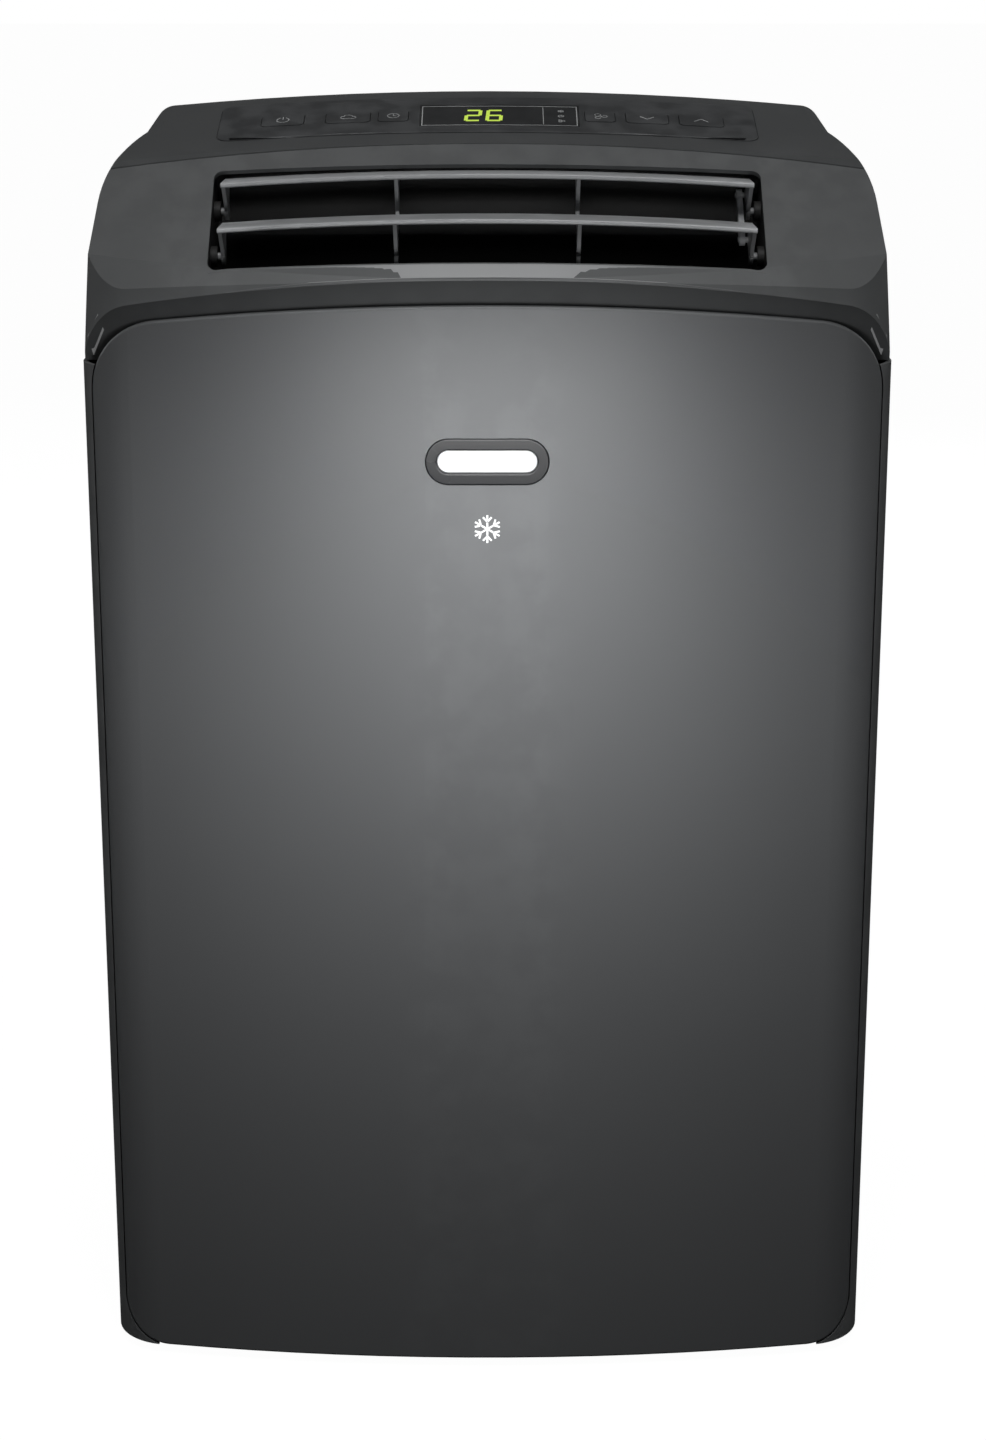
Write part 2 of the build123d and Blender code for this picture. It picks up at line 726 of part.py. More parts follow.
with BuildPart() as exhaust_collar:
    with BuildSketch(rear_plane(collar_x, rear_y - collar_inner, collar_z)):
        Circle(collar_radius + collar_wall)
    extrude(amount=collar_length)
    with BuildSketch(rear_plane(collar_x, rear_y + 0.1, collar_z)):
        Circle(collar_radius + flange_lip)
    extrude(amount=flange_thickness)
    with BuildSketch(rear_plane(collar_x, rear_y + 10, collar_z)):
        Circle(collar_radius + collar_wall + 1.8)
    extrude(amount=3)
    with BuildSketch(rear_plane(collar_x, rear_y - collar_inner, collar_z)):
        Circle(collar_radius)
    extrude(amount=collar_length, mode=Mode.SUBTRACT)
exhaust_collar.part.label = "exhaust_collar"
export_step(exhaust_collar.part, "parts/exhaust_collar.step")

duct_reach = 72.0
duct_box_half = 68.0
with BuildPart() as exhaust_duct:
    # box that leads the warm air from the condenser scroll to the collar
    with BuildSketch(rear_plane(collar_x, duct_reach, collar_z)):
        Rectangle(2 * duct_box_half + 6, 2 * duct_box_half)
    extrude(amount=rear_y - collar_inner - duct_reach)
    with BuildSketch(rear_plane(collar_x, duct_reach + 2, collar_z)):
        Rectangle(2 * duct_box_half + 2, 2 * duct_box_half - 4)
    extrude(amount=rear_y - collar_inner - duct_reach - 4, mode=Mode.SUBTRACT)
    with BuildSketch(rear_plane(collar_x, rear_y - 30, collar_z)):
        Circle(collar_radius)
    extrude(amount=20, mode=Mode.SUBTRACT)
    with BuildSketch(side_view(collar_x - duct_box_half - 10)):
        with Locations((89, 299)):
            Rectangle(28, 44)
    extrude(amount=12, mode=Mode.SUBTRACT)
exhaust_duct.part.label = "exhaust_duct"
export_step(exhaust_duct.part, "parts/exhaust_duct.step")

with BuildPart() as drain_spouts:
    for x, z in (drain_upper, drain_lower):
        with BuildSketch(rear_plane(x, rear_y + spout_proud - spout_length, z)):
            Circle(spout_bore + spout_wall)
            Circle(spout_bore, mode=Mode.SUBTRACT)
        extrude(amount=spout_length)
drain_spouts.part.label = "drain_spouts"
export_step(drain_spouts.part, "parts/drain_spouts.step")

for name, place in (("upper_drain_cap", drain_upper), ("lower_drain_cap", drain_lower)):
    with BuildPart() as cap:
        with BuildSketch(rear_plane(place[0], rear_y + 5.3, place[1])):
            RegularPolygon(cap_radius, 12)
        extrude(amount=cap_thickness)
        fillet(cap.faces().sort_by(Axis.Y)[-1].edges(), 0.8)
        with BuildSketch(rear_plane(place[0], rear_y + 6, place[1])):
            Circle(spout_bore - 0.1)
        extrude(amount=-plug_length)
        with BuildSketch(rear_plane(place[0], rear_y + 9, place[1])):
            Rectangle(tab_width, tab_thickness)
        extrude(amount=3.4)
    cap.part.label = name
    export_step(cap.part, f"parts/{name}.step")

with BuildPart() as cord_inlet:
    # gland for the supply cord
    with BuildSketch(rear_plane(cord_point[0], rear_y + 0.1, cord_point[1])):
        Circle(gland_radius)
    extrude(amount=gland_flange)
    with BuildSketch(rear_plane(cord_point[0], rear_y - sleeve_start, cord_point[1])):
        Circle(sleeve_radius)
    extrude(amount=sleeve_length)
    fillet(cord_inlet.faces().sort_by(Axis.Y)[-1].edges(), 1.2)
    with BuildSketch(rear_plane(cord_point[0], rear_y - sleeve_start, cord_point[1])):
        Circle(cord_bore)
    extrude(amount=sleeve_length + 1, mode=Mode.SUBTRACT)
cord_inlet.part.label = "cord_inlet"
export_step(cord_inlet.part, "parts/cord_inlet.step")

hook_width = 18.0
with BuildPart() as cord_hooks:
    # two hooks to wind the cord on, one turned up and one turned down
    for (x, z), turn in zip(hook_points, (1, -1)):
        with BuildSketch(side_view(x - hook_width / 2)):
            with Locations((rear_y + 2.1, z)):
                Rectangle(4, 14)
            with Locations((rear_y + 8, z + 3 * turn)):
                Rectangle(10, 4)
            with Locations((rear_y + 11, z + 8.5 * turn)):
                Rectangle(4, 15)
        extrude(amount=hook_width)
cord_hooks.part.label = "cord_hooks"
export_step(cord_hooks.part, "parts/cord_hooks.step")

with BuildPart() as rear_screws:
    for x, z in screw_places:
        with BuildSketch(rear_plane(x, rear_y + 0.05, z)):
            Circle(screw_head)
        extrude(amount=head_height)
        with BuildSketch(rear_plane(x, rear_y + 0.05, z)):
            Circle(screw_hole - 0.15)
        extrude(amount=-screw_length)
        with BuildSketch(rear_plane(x, rear_y + 1.0, z)):
            Rectangle(cross_length, cross_width)
            Rectangle(cross_width, cross_length)
        extrude(amount=1, mode=Mode.SUBTRACT)
rear_screws.part.label = "rear_screws"
export_step(rear_screws.part, "parts/rear_screws.step")

# ---------------- base and casters ----------------
base_inset = 7.2
rim_height = 12.0
rim_wall = 2.4

with BuildPart() as base_pan:
    # drip tray that carries the machinery
    extrude(Plane.XY.offset(floor_low) * casing_plan(base_inset), amount=floor_high - floor_low + rim_height)
    extrude(Plane.XY.offset(floor_high) * casing_plan(base_inset + rim_wall), amount=20, mode=Mode.SUBTRACT)
base_pan.part.label = "base_pan"
export_step(base_pan.part, "parts/base_pan.step")

caster_places = [(x, y) for x in (-caster_x, caster_x) for y in caster_ys]
socket_low = 46.0
socket_radius = 12.0
socket_depth = 10.5
cap_disc = 10.0
cap_disc_height = 4.4

with BuildPart() as caster_sockets:
    for x, y in caster_places:
        with BuildSketch(Plane.XY.offset(socket_low)):
            with Locations((x, y)):
                Circle(socket_radius)
        extrude(amount=floor_low - socket_low)
        with BuildSketch(Plane.XY.offset(socket_low)):
            with Locations((x, y)):
                Circle(stem_radius + running_gap)
        extrude(amount=socket_depth, mode=Mode.SUBTRACT)
caster_sockets.part.label = "caster_sockets"
export_step(caster_sockets.part, "parts/caster_sockets.step")

caster_names = ("left_front", "left_rear", "right_front", "right_rear")
wheel_width = 8.0
fork_half = 3.0
axle_radius = 2.5
wheel_gap = 0.5
wheel_round = 1.4

for caster_name, (x, y) in zip(caster_names, caster_places):
    axle_y = y + trail
    with BuildPart() as fork:
        # stem, round cap and the web between the two wheels
        with BuildSketch(Plane.XY.offset(socket_low - 1)):
            with Locations((x, y)):
                Circle(stem_radius)
        extrude(amount=11)
        with BuildSketch(Plane.XY.offset(socket_low - 5)):
            with Locations((x, y)):
                Circle(cap_disc)
        extrude(amount=cap_disc_height)
        with BuildSketch(side_view(x - fork_half)):
            with BuildLine():
                Polyline(
                    (y - 9, socket_low - 3),
                    (y + 9, socket_low - 3),
                    (axle_y + 7, wheel_radius + 6),
                    (axle_y + 6, wheel_radius - 5),
                    (axle_y - 6, wheel_radius - 5),
                    (y - 9, socket_low - 8),
                    (y - 9, socket_low - 3),
                )
            make_face()
        extrude(amount=2 * fork_half)
        with BuildSketch(side_view(x - 20)):
            with Locations((axle_y, wheel_radius)):
                Circle(axle_radius + running_gap)
        extrude(amount=40, mode=Mode.SUBTRACT)
    fork.part.label = f"{caster_name}_fork"
    export_step(fork.part, f"parts/{caster_name}_fork.step")

    with BuildPart() as wheels:
        # twin wheels on one axle
        with BuildSketch(side_view(x - fork_half - wheel_gap - wheel_width)):
            with Locations((axle_y, wheel_radius)):
                Circle(axle_radius)
        extrude(amount=2 * (fork_half + wheel_gap + wheel_width))
        for side in (-1, 1):
            with BuildSketch(side_view(x + side * (fork_half + wheel_gap))):
                with Locations((axle_y, wheel_radius)):
                    Circle(wheel_radius)
            extrude(amount=side * wheel_width)
        rims = wheels.edges().filter_by(GeomType.CIRCLE).filter_by(lambda edge: edge.radius > wheel_radius - 1)
        fillet(rims, wheel_round)
    wheels.part.label = f"{caster_name}_wheels"
    export_step(wheels.part, f"parts/{caster_name}_wheels.step")

# ---------------- machinery ----------------
scroll_wall = 2.0
hub_radius = 9.0
hub_length = 24.0
shaft_radius = 3.0
plate = 2.0
blade_chord = 11.0
blade_thickness = 1.4
blade_pitch = 28.0
eye_share = 0.68


def scroll_housing(middle_x, middle_z, radius, front, depth, mouth):
    # blower casing: a round drum with a mouth rectangle, open at the rear eye and at the mouth
    mouth_x, mouth_z, mouth_width, mouth_height = mouth
    with BuildPart() as casing:
        with BuildSketch(rear_plane(0, front, 0)):
            with Locations((-middle_x, middle_z)):
                Circle(radius)
            with Locations((-mouth_x, mouth_z)):
                Rectangle(mouth_width, mouth_height)
        extrude(amount=depth)
        with BuildSketch(rear_plane(0, front + scroll_wall, 0)):
            with Locations((-middle_x, middle_z)):
                Circle(radius - scroll_wall)
            with Locations((-mouth_x, mouth_z)):
                Rectangle(mouth_width - 2 * scroll_wall, mouth_height - 2 * scroll_wall)
        extrude(amount=depth - 2 * scroll_wall, mode=Mode.SUBTRACT)
        with BuildSketch(rear_plane(middle_x, front - 1, middle_z)):
            Circle(hub_radius)
        extrude(amount=10, mode=Mode.SUBTRACT)
        with BuildSketch(rear_plane(middle_x, front + depth - 10, middle_z)):
            Circle(eye_share * radius)
        extrude(amount=20, mode=Mode.SUBTRACT)
    return casing.part


def blower_wheel(middle_x, middle_z, radius, front, depth, blades):
    # back plate with a hub, a ring of blades and a front rim
    face = rear_plane(middle_x, front, middle_z)
    with BuildPart() as wheel:
        with BuildSketch(face):
            Circle(radius)
        extrude(amount=plate)
        with BuildSketch(face):
            Circle(hub_radius)
        extrude(amount=hub_length)
        with BuildSketch(face.offset(plate - 0.5)):
            with PolarLocations(radius - 7, blades):
                Rectangle(blade_chord, blade_thickness, rotation=blade_pitch)
        extrude(amount=depth - 3)
        with BuildSketch(face.offset(depth - plate)):
            Circle(radius)
            Circle(radius - 14, mode=Mode.SUBTRACT)
        extrude(amount=plate)
        with BuildSketch(face):
            Circle(shaft_radius + running_gap)
        extrude(amount=hub_length, mode=Mode.SUBTRACT)
    return wheel.part


def blower_motor(middle_x, middle_z, radius, front, length, shaft):
    with BuildPart() as motor:
        with BuildSketch(rear_plane(middle_x, front, middle_z)):
            Circle(radius)
        extrude(amount=length)
        fillet(motor.edges().filter_by(GeomType.CIRCLE), 4)
        with BuildSketch(rear_plane(middle_x, front + length, middle_z)):
            Circle(shaft_radius)
        extrude(amount=shaft)
    return motor.part


cool_x = 0.0
cool_z = 457.0
cool_radius = 90.0
cool_front = -131.0
cool_depth = 68.0
warm_x = -85.0
warm_z = 235.0
warm_radius = 86.0
warm_front = 38.0
warm_depth = 66.0
motor_length = 27.0
motor_shaft = 28.0
motor_clear = 0.4
cool_wheel = 70.0
warm_wheel = 66.0
wheel_set_back = 6.0
mouth_height = 44.0

with BuildPart() as evaporator_scroll:
    mouth = (cool_x, duct_foot - 50, 2 * cool_radius, 98)
    add(scroll_housing(cool_x, cool_z, cool_radius, cool_front, cool_depth, mouth))
    with BuildSketch(Plane.XY.offset(duct_foot - 8)):
        with Locations((cool_x, cool_front + cool_depth / 2)):
            Rectangle(2 * (cool_radius - scroll_wall), cool_depth - 2 * scroll_wall)
    extrude(amount=10, mode=Mode.SUBTRACT)
evaporator_scroll.part.label = "evaporator_scroll"
export_step(evaporator_scroll.part, "parts/evaporator_scroll.step")

with BuildPart() as condenser_scroll:
    mouth = (warm_x + 55, warm_z + warm_radius - mouth_height / 2, 112, mouth_height)
    add(scroll_housing(warm_x, warm_z, warm_radius, warm_front, warm_depth, mouth))
    with BuildSketch(side_view(warm_x + 100)):
        with Locations((warm_front + warm_depth / 2, warm_z + warm_radius - mouth_height / 2)):
            Rectangle(warm_depth - 2 * scroll_wall, mouth_height - 2 * scroll_wall)
    extrude(amount=20, mode=Mode.SUBTRACT)
condenser_scroll.part.label = "condenser_scroll"
export_step(condenser_scroll.part, "parts/condenser_scroll.step")

with BuildPart() as evaporator_wheel:
    add(blower_wheel(cool_x, cool_z, cool_wheel, cool_front + wheel_set_back, 56, 36))
evaporator_wheel.part.label = "evaporator_wheel"
export_step(evaporator_wheel.part, "parts/evaporator_wheel.step")

with BuildPart() as condenser_wheel:
    add(blower_wheel(warm_x, warm_z, warm_wheel, warm_front + wheel_set_back, 54, 32))
condenser_wheel.part.label = "condenser_wheel"
export_step(condenser_wheel.part, "parts/condenser_wheel.step")

with BuildPart() as fan_motors:
    add(blower_motor(cool_x, cool_z, 36, cool_front - motor_length - motor_clear, motor_length, motor_shaft))
    add(blower_motor(warm_x, warm_z, 32, warm_front - motor_length - motor_clear, motor_length, motor_shaft))
fan_motors.part.label = "fan_motors"
export_step(fan_motors.part, "parts/fan_motors.step")

fin_pitch = 6.0
fin_thickness = 1.0
tube_pitch = 24.0
tube_radius = 4.0
end_plate = 2.0
end_margin = 4.0


def finned_coil(middle_x, low_z, width, height, front, depth):
    # stack of fins on straight tubes between two end plates
    with BuildPart() as coil:
        fins = int(width / fin_pitch)
        middle = (middle_x, front + depth / 2, low_z + height / 2)
        with BuildSketch(Plane.YZ.offset(middle_x - width / 2)):
            with Locations((middle[1], middle[2])):
                with GridLocations(depth / 2, tube_pitch, 2, int(height / tube_pitch)):
                    Circle(tube_radius)
        extrude(amount=width)
        with Locations(middle):
            with GridLocations(width / fins, 1, fins, 1):
                Box(fin_thickness, depth, height)
            with GridLocations(width - end_plate, 1, 2, 1):
                Box(end_plate, depth + end_margin, height + end_margin)
    return coil.part


with BuildPart() as evaporator_coil:
    add(finned_coil(0, 402, 320, 150, 122, 22))
evaporator_coil.part.label = "evaporator_coil"
export_step(evaporator_coil.part, "parts/evaporator_coil.step")

with BuildPart() as condenser_coil:
    add(finned_coil(-85, 104, 170, 244, 112, 22))
condenser_coil.part.label = "condenser_coil"
export_step(condenser_coil.part, "parts/condenser_coil.step")

tank_x = 95.0
tank_y = -50.0
tank_radius = 60.0
tank_low = 86.0
tank_high = 272.0
tank_round = 22.0
foot_circle = 62.0
ear_radius = 14.0
mount_radius = 9.0
foot_drop = 4.0

with BuildPart() as compressor:
    with BuildSketch(Plane.XY.offset(tank_low)):
        with Locations((tank_x, tank_y)):
            Circle(tank_radius)
    extrude(amount=tank_high - tank_low)
    fillet(compressor.edges().filter_by(GeomType.CIRCLE), tank_round)
    # foot plate with three ears
    with BuildSketch(Plane.XY.offset(tank_low - foot_drop)):
        with Locations((tank_x, tank_y)):
            with PolarLocations(foot_circle, 3, start_angle=90):
                Circle(ear_radius)
            Circle(56)
    extrude(amount=5)
    with BuildSketch(Plane.XY.offset(tank_high - 2)):
        with Locations((tank_x + 20, tank_y)):
            Circle(16)
    extrude(amount=16)
compressor.part.label = "compressor"
export_step(compressor.part, "parts/compressor.step")

with BuildPart() as compressor_mounts:
    with BuildSketch(Plane.XY.offset(floor_high)):
        with Locations((tank_x, tank_y)):
            with PolarLocations(foot_circle, 3, start_angle=90):
                Circle(mount_radius)
    extrude(amount=tank_low - foot_drop - floor_high)
compressor_mounts.part.label = "compressor_mounts"
export_step(compressor_mounts.part, "parts/compressor_mounts.step")

tray_low = 361.5
tray_inset = 9.6
tray_thickness = 3.0
tray_height = 12.0
pipe_x = 190.0
pipe_y = 110.0
with BuildPart() as divider_tray:
    extrude(Plane.XY.offset(tray_low) * casing_plan(tray_inset), amount=tray_height)
    extrude(Plane.XY.offset(tray_low + tray_thickness) * casing_plan(tray_inset + 2), amount=20, mode=Mode.SUBTRACT)
    with BuildSketch(Plane.XY.offset(tray_low - 1)):
        with Locations((pipe_x, pipe_y)):
            Circle(7)
    extrude(amount=20, mode=Mode.SUBTRACT)
divider_tray.part.label = "divider_tray"
export_step(divider_tray.part, "parts/divider_tray.step")

pipe_radius = 4.0
bend = 9.0
suction_z = 340.0
hot_z = 330.0


def pipe(points):
    # round tube along straight runs joined by bends
    with BuildPart() as tube:
        with BuildLine() as route:
            FilletPolyline(*points, radius=bend)
        with BuildSketch(Plane(origin=route.line @ 0, z_dir=route.line % 0)):
            Circle(pipe_radius)
        sweep()
    return tube.part


with BuildPart() as refrigerant_lines:
    add(pipe(((tank_x - 10, tank_y, tank_high), (tank_x - 10, tank_y, suction_z), (14, tank_y, suction_z),
              (14, 123, suction_z), (0.5, 123, suction_z))))
    add(pipe(((tank_x + 20, tank_y + 22, tank_high), (tank_x + 20, tank_y + 22, hot_z),
              (pipe_x, tank_y + 22, hot_z), (pipe_x, pipe_y, hot_z), (pipe_x, pipe_y, 430),
              (pipe_x, 133, 430), (160.5, 133, 430))))
refrigerant_lines.part.label = "refrigerant_lines"
export_step(refrigerant_lines.part, "parts/refrigerant_lines.step")

with BuildPart() as electrical_box:
    with Locations((-95, -120, 285)):
        Box(120, 44, 110)
    fillet(electrical_box.edges().filter_by(Axis.Y), 4)
    with Locations((-60, -93, 290)):
        Cylinder(18, 70)
electrical_box.part.label = "electrical_box"
export_step(electrical_box.part, "parts/electrical_box.step")
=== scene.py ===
import json
import math
import random
import bmesh
import bpy
from mathutils import Matrix, Vector
from mathutils.bvhtree import BVHTree


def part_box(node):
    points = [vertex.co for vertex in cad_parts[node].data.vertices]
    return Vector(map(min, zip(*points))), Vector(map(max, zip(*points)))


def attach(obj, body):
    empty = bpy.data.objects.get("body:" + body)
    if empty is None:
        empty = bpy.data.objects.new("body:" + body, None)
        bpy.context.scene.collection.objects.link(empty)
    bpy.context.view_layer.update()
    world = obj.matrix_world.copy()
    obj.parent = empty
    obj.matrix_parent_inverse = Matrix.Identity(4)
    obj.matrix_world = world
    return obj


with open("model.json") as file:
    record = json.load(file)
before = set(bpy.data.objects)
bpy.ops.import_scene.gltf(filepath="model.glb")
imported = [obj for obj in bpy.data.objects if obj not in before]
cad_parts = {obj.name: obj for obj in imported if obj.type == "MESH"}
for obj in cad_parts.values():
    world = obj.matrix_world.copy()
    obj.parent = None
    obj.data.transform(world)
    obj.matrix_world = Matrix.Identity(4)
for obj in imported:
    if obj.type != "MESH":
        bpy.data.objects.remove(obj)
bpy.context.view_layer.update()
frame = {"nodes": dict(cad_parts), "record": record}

mm = 0.001
nodes = frame["nodes"]
print("frame loaded:", len(nodes), "CAD nodes")

# ---------------------------------------------------------------- camera
cameraPlace = {"x": 3 * mm, "y": -1636 * mm, "z": 791 * mm, "pitch": 15.4, "lens": 70.0, "sensor": 36.0}


def makeCamera(place):
    data = bpy.data.cameras.new("camera")
    data.lens = place["lens"]
    data.sensor_width = place["sensor"]
    data.clip_start = 0.05
    data.clip_end = 100
    camera = bpy.data.objects.new("camera", data)
    camera.location = (place["x"], place["y"], place["z"])
    camera.rotation_euler = (math.radians(90 - place["pitch"]), 0, 0)
    bpy.context.scene.collection.objects.link(camera)
    bpy.context.scene.camera = camera


makeCamera(cameraPlace)
bpy.context.scene.view_settings.view_transform = "Standard"

# ---------------------------------------------------------------- shader groups


def newGroup(name, inputs, outputs):
    # an empty node group with named sockets: inputs are (name, default)
    tree = bpy.data.node_groups.new(name, "ShaderNodeTree")
    for socketName, default in inputs:
        socket = tree.interface.new_socket(socketName, in_out="INPUT", socket_type="NodeSocketFloat")
        socket.default_value = default
    for socketName in outputs:
        tree.interface.new_socket(socketName, in_out="OUTPUT", socket_type="NodeSocketFloat")
    return tree, tree.nodes.new("NodeGroupInput"), tree.nodes.new("NodeGroupOutput")


def mathNode(tree, operation, first, second=None, clamp=False):
    node = tree.nodes.new("ShaderNodeMath")
    node.operation = operation
    node.use_clamp = clamp
    for socket, value in zip(node.inputs, (first, second)):
        if isinstance(value, bpy.types.NodeSocket):
            tree.links.new(value, socket)
        elif value is not None:
            socket.default_value = value
    return node.outputs[0]


def noiseNode(tree, scale, detail=3.0, kind="ShaderNodeTexNoise"):
    coords = tree.nodes.new("ShaderNodeTexCoord")
    noise = tree.nodes.new(kind)
    tree.links.new(coords.outputs["Object"], noise.inputs["Vector"])
    if isinstance(scale, bpy.types.NodeSocket):
        tree.links.new(scale, noise.inputs["Scale"])
    else:
        noise.inputs["Scale"].default_value = scale
    if kind == "ShaderNodeTexNoise":
        noise.inputs["Detail"].default_value = detail
    return noise


def rangeNode(tree, value, low, high, toLow=0.0, toHigh=1.0):
    node = tree.nodes.new("ShaderNodeMapRange")
    node.interpolation_type = "SMOOTHSTEP"
    tree.links.new(value, node.inputs["Value"])
    for name, number in (("From Min", low), ("From Max", high), ("To Min", toLow), ("To Max", toHigh)):
        node.inputs[name].default_value = number
    return node.outputs["Result"]


def makeMouldedGrain():
    # spark-eroded mould texture: fine cells for the bump, slow cloud for the tone
    tree, given, made = newGroup("mouldedGrain", [("Grain Scale", 2400.0)], ["Height", "Tone"])
    cells = noiseNode(tree, given.outputs["Grain Scale"], kind="ShaderNodeTexVoronoi")
    fine = noiseNode(tree, 5200.0, 2.0)
    height = mathNode(tree, "ADD", cells.outputs["Distance"], mathNode(tree, "MULTIPLY", fine.outputs["Fac"], 0.6))
    cloud = noiseNode(tree, 9.0, 4.0)
    tree.links.new(height, made.inputs["Height"])
    tree.links.new(rangeNode(tree, cloud.outputs["Fac"], 0.3, 0.7), made.inputs["Tone"])
    return tree


def makeEdgeWear():
    # light rub on the outer corners, broken up so that it isn't a drawn line
    tree, given, made = newGroup("edgeWear", [("Amount", 0.3)], ["Mask"])
    geometry = tree.nodes.new("ShaderNodeNewGeometry")
    patches = noiseNode(tree, 60.0, 4.0)
    corner = rangeNode(tree, geometry.outputs["Pointiness"], 0.52, 0.62)
    broken = mathNode(tree, "MULTIPLY", corner, rangeNode(tree, patches.outputs["Fac"], 0.35, 0.65))
    tree.links.new(mathNode(tree, "MULTIPLY", broken, given.outputs["Amount"], True), made.inputs["Mask"])
    return tree


def makeDustFilm():
    # thin film that settles on faces looking up
    tree, given, made = newGroup("dustFilm", [("Amount", 0.1)], ["Mask"])
    geometry = tree.nodes.new("ShaderNodeNewGeometry")
    split = tree.nodes.new("ShaderNodeSeparateXYZ")
    tree.links.new(geometry.outputs["Normal"], split.inputs["Vector"])
    patches = noiseNode(tree, 25.0, 5.0)
    upward = rangeNode(tree, split.outputs["Z"], 0.4, 1.0)
    film = mathNode(tree, "MULTIPLY", upward, patches.outputs["Fac"])
    tree.links.new(mathNode(tree, "MULTIPLY", film, given.outputs["Amount"], True), made.inputs["Mask"])
    return tree


def makeSmudges():
    # faint handling marks that only change the gloss
    tree, given, made = newGroup("smudges", [("Base", 0.4), ("Spread", 0.06)], ["Roughness"])
    broad = noiseNode(tree, 14.0, 5.0)
    centred = mathNode(tree, "SUBTRACT", broad.outputs["Fac"], 0.5)
    change = mathNode(tree, "MULTIPLY", centred, given.outputs["Spread"])
    total = mathNode(tree, "ADD", given.outputs["Base"], mathNode(tree, "MULTIPLY", change, 2.0), True)
    tree.links.new(total, made.inputs["Roughness"])
    return tree


groups = {
    "grain": makeMouldedGrain(),
    "wear": makeEdgeWear(),
    "dust": makeDustFilm(),
    "smudges": makeSmudges(),
}
print("shader groups:", ", ".join(groups))

# ---------------------------------------------------------------- finishes


def placeGroup(tree, key, **values):
    node = tree.nodes.new("ShaderNodeGroup")
    node.node_tree = groups[key]
    for name, value in values.items():
        node.inputs[name.replace("_", " ")].default_value = value
    return node


def mixColour(tree, mask, first, second):
    node = tree.nodes.new("ShaderNodeMix")
    node.data_type = "RGBA"
    tree.links.new(mask, node.inputs["Factor"])
    for socket, colour in ((node.inputs["A"], first), (node.inputs["B"], second)):
        if isinstance(colour, bpy.types.NodeSocket):
            tree.links.new(colour, socket)
        else:
            socket.default_value = (*colour, 1)
    return node.outputs["Result"]


def moulded(name, finish):
    # one recipe for every moulded, painted or cast finish; the dictionary says how it differs
    material = bpy.data.materials.new(name)
    material.use_nodes = True
    tree = material.node_tree
    shader = tree.nodes["Principled BSDF"]
    grain = placeGroup(tree, "grain", Grain_Scale=finish.get("grainScale", 2400.0))
    wear = placeGroup(tree, "wear", Amount=finish.get("wear", 0.25))
    dust = placeGroup(tree, "dust", Amount=finish.get("dust", 0.06))
    gloss = placeGroup(tree, "smudges", Base=finish["roughness"], Spread=finish.get("smudge", 0.05))
    colour = finish["colour"]
    darker = [c * (1 - finish.get("cloud", 0.06)) for c in colour]
    body = mixColour(tree, grain.outputs["Tone"], darker, colour)
    rubbed = [min(1.0, c * 1.9 + 0.02) for c in colour]
    body = mixColour(tree, wear.outputs["Mask"], body, rubbed)
    body = mixColour(tree, dust.outputs["Mask"], body, (0.42, 0.41, 0.39))
    tree.links.new(body, shader.inputs["Base Color"])
    tree.links.new(gloss.outputs["Roughness"], shader.inputs["Roughness"])
    bump = tree.nodes.new("ShaderNodeBump")
    bump.inputs["Strength"].default_value = finish.get("bump", 0.1)
    bump.inputs["Distance"].default_value = finish.get("bumpDepth", 0.00004)
    tree.links.new(grain.outputs["Height"], bump.inputs["Height"])
    tree.links.new(bump.outputs["Normal"], shader.inputs["Normal"])
    shader.inputs["Metallic"].default_value = finish.get("metallic", 0.0)
    shader.inputs["Specular IOR Level"].default_value = finish.get("specular", 0.5)
    shader.inputs["Coat Weight"].default_value = finish.get("coat", 0.0)
    shader.inputs["Coat Roughness"].default_value = finish.get("coatRoughness", 0.1)
    if "glow" in finish:
        shader.inputs["Emission Color"].default_value = (*finish["glow"], 1)
        shader.inputs["Emission Strength"].default_value = finish["glowStrength"]
    return material


